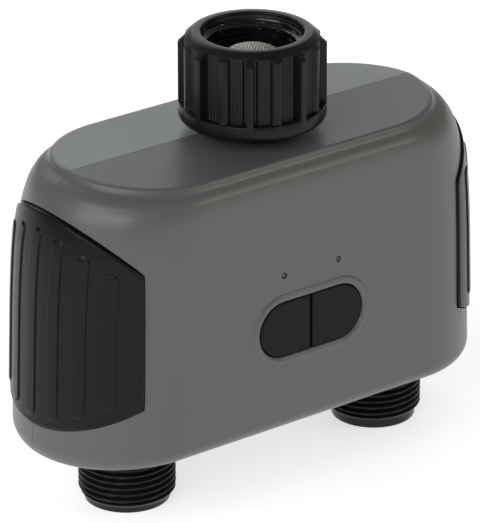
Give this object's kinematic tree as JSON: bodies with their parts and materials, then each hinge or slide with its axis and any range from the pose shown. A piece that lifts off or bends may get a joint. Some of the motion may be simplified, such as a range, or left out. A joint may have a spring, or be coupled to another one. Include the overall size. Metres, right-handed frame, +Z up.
{
  "type": "drip irrigation timer",
  "caption": "Tap-mounted irrigation timer: a swivel inlet nut on top feeds threaded hose outlets below through solenoid valves; push buttons, ribbed side grips, battery cover.",
  "frame": {"origin": "midway between the ends, on the plane where the two body shells meet, level with the rims of the outlets", "axes": "+Z up through the inlet nut, -Y the front with the buttons, +X along the body to the right seen from the front"},
  "size_m": [0.1436, 0.0604, 0.1244],
  "materials": {
    "grey_abs": "fine satin texture, grey ABS",
    "black_nylon": "satin black nylon",
    "black_grip": "satin black polypropylene",
    "black_silicone": "matte black silicone-coated button",
    "black_rubber": "matte EPDM rubber",
    "steel_mesh": "woven stainless mesh",
    "steel": "plated steel",
    "natural_pom": "natural acetal moulding",
    "copper_winding": "enamelled copper winding",
    "board_green": "solder mask on glass epoxy",
    "clear_pmma": "clear acrylic light pipe",
    "cell_skin": "printed film over a steel can"
  },
  "bodies": {
    "housing": {"back_shell": "grey_abs", "battery_cell_1": "cell_skin", "battery_cell_2": "cell_skin", "battery_cell_3": "cell_skin", "battery_cell_4": "cell_skin", "battery_tray": "natural_pom", "bonnet_left": "natural_pom", "bonnet_right": "natural_pom", "button_gasket": "black_rubber", "case_screw_lower_left": "steel", "case_screw_lower_right": "steel", "case_screw_upper_left": "steel", "case_screw_upper_right": "steel", "circuit_board": "board_green", "coil_left": "copper_winding", "coil_right": "copper_winding", "contact_bottom_left": "steel", "contact_bottom_right": "steel", "contact_top_left": "steel", "contact_top_middle": "steel", "contact_top_right": "steel", "diaphragm_left": "black_rubber", "diaphragm_right": "black_rubber", "front_shell": "grey_abs", "hinge_pin_left": "steel", "hinge_pin_right": "steel", "inlet_filter": "steel_mesh", "inlet_washer": "black_rubber", "left_grip": "black_grip", "light_pipe_left": "clear_pmma", "light_pipe_right": "clear_pmma", "manifold": "black_nylon", "neck_seal": "black_rubber", "outlet_left": "black_nylon", "outlet_right": "black_nylon", "outlet_seal_left": "black_rubber", "outlet_seal_right": "black_rubber", "plunger_spring_left": "steel", "plunger_spring_right": "steel", "radio_module": "steel", "right_grip": "black_grip", "solenoid_frame_left": "steel", "solenoid_frame_right": "steel", "switch_left": "black_nylon", "switch_right": "black_nylon"},
    "nut": {"inlet_nut": "black_nylon"},
    "button_left": {"button_left": "black_silicone"},
    "button_right": {"button_right": "black_silicone"},
    "cover": {"battery_cover": "grey_abs", "cover_seal": "black_rubber"},
    "plunger_left": {"plunger_left": "steel"},
    "plunger_right": {"plunger_right": "steel"}
  },
  "joints": [
    {"name": "nut_spin", "type": "hinge", "parent": "housing", "child": "nut", "pos_m": [0, -0.00375, 0.112], "axis": [0, 0, 1], "continuous": true},
    {"name": "cover_hinge", "type": "hinge", "parent": "housing", "child": "cover", "pos_m": [0, 0.02855, 0.028], "axis": [-1, 0, 0], "range_deg": [0, 100]},
    {"name": "button_left_press", "type": "slide", "parent": "housing", "child": "button_left", "axis": [0, 1, 0], "range_m": [0, 0.0008], "stiffness_N_per_m": 600, "springref_m": -0.001},
    {"name": "plunger_left_lift", "type": "slide", "parent": "housing", "child": "plunger_left", "axis": [0, 0, 1], "range_m": [0, 0.002], "stiffness_N_per_m": 150, "springref_m": -0.004, "deforming": ["plunger_spring_left"]},
    {"name": "button_right_press", "type": "slide", "parent": "housing", "child": "button_right", "axis": [0, 1, 0], "range_m": [0, 0.0008], "stiffness_N_per_m": 600, "springref_m": -0.001},
    {"name": "plunger_right_lift", "type": "slide", "parent": "housing", "child": "plunger_right", "axis": [0, 0, 1], "range_m": [0, 0.002], "stiffness_N_per_m": 150, "springref_m": -0.004, "deforming": ["plunger_spring_right"]}
  ]
}
